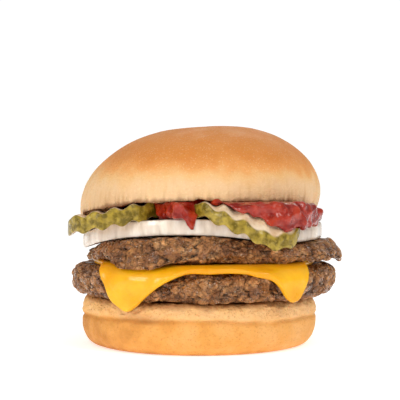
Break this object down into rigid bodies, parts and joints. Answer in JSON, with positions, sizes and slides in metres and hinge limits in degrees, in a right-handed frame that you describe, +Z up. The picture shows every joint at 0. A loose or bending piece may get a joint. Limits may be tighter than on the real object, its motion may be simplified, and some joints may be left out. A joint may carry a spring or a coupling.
{
  "type": "double cheeseburger",
  "caption": "Burger on a soft round bun: ground beef patties with melted cheese between them, under a slice of onion, crinkle-cut pickle chips and ketchup.",
  "frame": {"origin": "centre of the bottom of the burger's bounding box, on the surface it rests on", "axes": "+Z up, -Y towards the side with the two pickle chips, +X to the right seen from that side, along the longest side of the box"},
  "size_m": [0.116, 0.115, 0.0927],
  "materials": {
    "crown_bread": "matte",
    "heel_bread": "matte",
    "beef": "satin",
    "cheese": "satin",
    "onion": "satin",
    "pickle": "satin",
    "ketchup": "gloss"
  },
  "bodies": {
    "root": {"bun_heel": "heel_bread", "patty_lower": "beef", "cheese_slice": "cheese", "patty_upper": "beef", "onion_slice": "onion", "pickle_chip_left": "pickle", "pickle_chip_right": "pickle", "pickle_chip_back": "pickle", "ketchup": "ketchup", "bun_crown": "crown_bread"}
  },
  "joints": []
}
